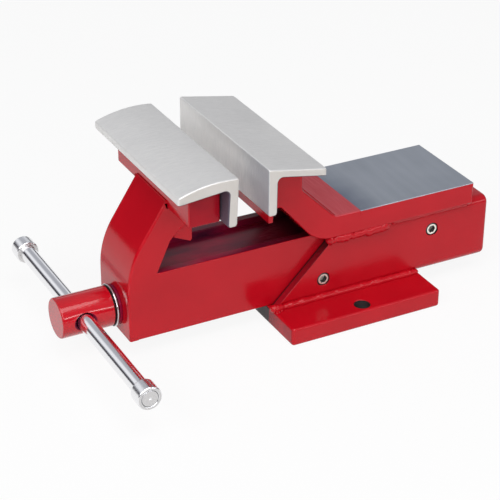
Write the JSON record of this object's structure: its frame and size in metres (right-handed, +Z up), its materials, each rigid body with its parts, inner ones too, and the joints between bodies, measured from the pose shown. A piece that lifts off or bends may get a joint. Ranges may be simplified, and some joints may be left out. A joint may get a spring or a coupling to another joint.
{
  "type": "bench vise",
  "caption": "Welded steel bench vise with an anvil face, tommy-bar spindle and slip-on aluminium jaw covers, bolted down through its base plate.",
  "frame": {"origin": "midway between the two base bolt holes, on the underside of the base plate", "axes": "+X from the handle to the anvil along the spindle, +Y across the vise to its far side, +Z up"},
  "size_m": [0.3904, 0.265, 0.1705],
  "materials": {
    "red_paint": "gloss enamel",
    "ground_steel": "ground",
    "bright_steel": "bright zinc",
    "bronze": "machined",
    "chrome": "polished",
    "cast_aluminium": "satin, as cast and tumbled"
  },
  "bodies": {
    "body": {"base_plate": "red_paint", "near_wall": "red_paint", "far_wall": "red_paint", "rear_cap": "red_paint", "anvil_block": "red_paint", "anvil_face": "ground_steel", "fixed_jaw_plate": "red_paint", "nut_post": "red_paint", "spindle_nut": "bronze", "nut_screw": "bright_steel", "front_adjuster": "bright_steel", "rear_adjuster": "bright_steel", "front_pad": "bronze", "rear_pad": "bronze"},
    "moving_jaw": {"front_plate": "red_paint", "near_side_plate": "red_paint", "far_side_plate": "red_paint", "beam_web": "red_paint", "jaw_block": "red_paint", "jaw_gusset": "red_paint", "thrust_boss": "red_paint"},
    "screw": {"spindle": "ground_steel", "spindle_head": "red_paint", "thrust_ring": "bright_steel", "retaining_collar": "ground_steel", "collar_pin": "ground_steel"},
    "bar": {"tommy_bar": "chrome", "near_bar_collar": "chrome", "far_bar_collar": "chrome"},
    "front_cover": {"front_jaw_cover": "cast_aluminium"},
    "rear_cover": {"rear_jaw_cover": "cast_aluminium"}
  },
  "joints": [
    {"name": "jaw_slide", "type": "slide", "parent": "body", "child": "moving_jaw", "axis": [1, 0, 0], "range_m": [-0.085, 0.026]},
    {"name": "spindle_turn", "type": "hinge", "parent": "moving_jaw", "child": "screw", "pos_m": [-0.2, 0, 0.0375], "axis": [1, 0, 0], "range_deg": [-7640, 2330]},
    {"name": "bar_slide", "type": "slide", "parent": "screw", "child": "bar", "axis": [0, 1, 0], "range_m": [-0.094, 0.107]},
    {"name": "front_cover_lift", "type": "slide", "parent": "moving_jaw", "child": "front_cover", "axis": [0, 0, 1], "range_m": [0, 0.06]},
    {"name": "rear_cover_lift", "type": "slide", "parent": "body", "child": "rear_cover", "axis": [0, 0, 1], "range_m": [0, 0.06]}
  ],
  "couplings": [
    {"joint": "jaw_slide", "follows": "spindle_turn", "m_per_rad": 0.00063662}
  ]
}
